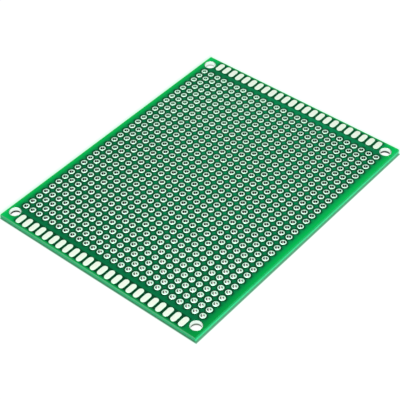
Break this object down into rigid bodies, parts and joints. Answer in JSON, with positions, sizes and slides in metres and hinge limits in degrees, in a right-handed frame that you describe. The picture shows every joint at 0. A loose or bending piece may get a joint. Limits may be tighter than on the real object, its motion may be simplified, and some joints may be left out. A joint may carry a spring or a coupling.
{
  "type": "prototype board",
  "caption": "Thin green rectangular circuit board with a full grid of tinned through holes, rows of long solder pads along both short ends and a round hole at each corner.",
  "frame": {"origin": "middle of the board, on the plane that it rests on", "axes": "+X along the short side, +Y along the long side, +Z out of the upper face"},
  "size_m": [0.07, 0.09, 0.0017],
  "materials": {
    "laminate": "cut edge of glass-epoxy sheet",
    "solder_mask": "glossy green solder mask",
    "tinned_pad": "bright tinned copper"
  },
  "bodies": {
    "root": {"laminate": "laminate", "top_mask": "solder_mask", "bottom_mask": "solder_mask", "top_front_pads": "tinned_pad", "top_rear_pads": "tinned_pad", "bottom_front_pads": "tinned_pad", "bottom_rear_pads": "tinned_pad", "mounting_eyelets": "tinned_pad", "eyelet_row_01": "tinned_pad", "eyelet_row_02": "tinned_pad", "eyelet_row_03": "tinned_pad", "eyelet_row_04": "tinned_pad", "eyelet_row_05": "tinned_pad", "eyelet_row_06": "tinned_pad", "eyelet_row_07": "tinned_pad", "eyelet_row_08": "tinned_pad", "eyelet_row_09": "tinned_pad", "eyelet_row_10": "tinned_pad", "eyelet_row_11": "tinned_pad", "eyelet_row_12": "tinned_pad", "eyelet_row_13": "tinned_pad", "eyelet_row_14": "tinned_pad", "eyelet_row_15": "tinned_pad", "eyelet_row_16": "tinned_pad", "eyelet_row_17": "tinned_pad", "eyelet_row_18": "tinned_pad", "eyelet_row_19": "tinned_pad", "eyelet_row_20": "tinned_pad", "eyelet_row_21": "tinned_pad", "eyelet_row_22": "tinned_pad", "eyelet_row_23": "tinned_pad", "eyelet_row_24": "tinned_pad", "eyelet_row_25": "tinned_pad", "eyelet_row_26": "tinned_pad", "eyelet_row_27": "tinned_pad", "eyelet_row_28": "tinned_pad", "eyelet_row_29": "tinned_pad", "eyelet_row_30": "tinned_pad", "eyelet_row_31": "tinned_pad"}
  },
  "joints": []
}
